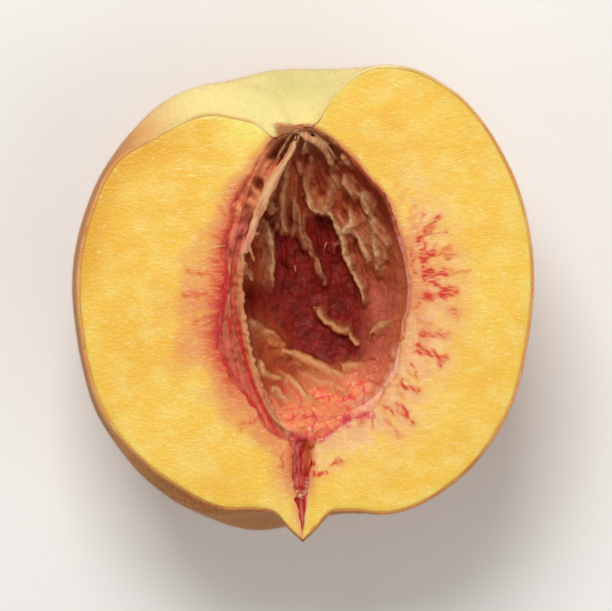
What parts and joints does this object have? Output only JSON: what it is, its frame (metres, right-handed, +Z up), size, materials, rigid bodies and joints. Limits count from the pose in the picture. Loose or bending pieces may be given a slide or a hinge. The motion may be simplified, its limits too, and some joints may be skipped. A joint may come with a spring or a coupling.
{
  "type": "peach half",
  "caption": "Half of a ripe yellow peach, cut along the suture with the stone out: level cut face over a rough hollow, pointed tip, velvety skin.",
  "frame": {"origin": "middle of the bounding box's base, on the small flat spot the half rests on", "axes": "+Z up, square to the cut face; +Y towards the stem end and -Y towards the pointed tip; -X towards the suture furrow"},
  "size_m": [0.0704, 0.0726, 0.0328],
  "materials": {
    "peach": "wet juicy yellow flesh, red about the stone hollow, with pale apricot velvety skin"
  },
  "bodies": {
    "root": {"peach_half": "peach"}
  },
  "joints": []
}
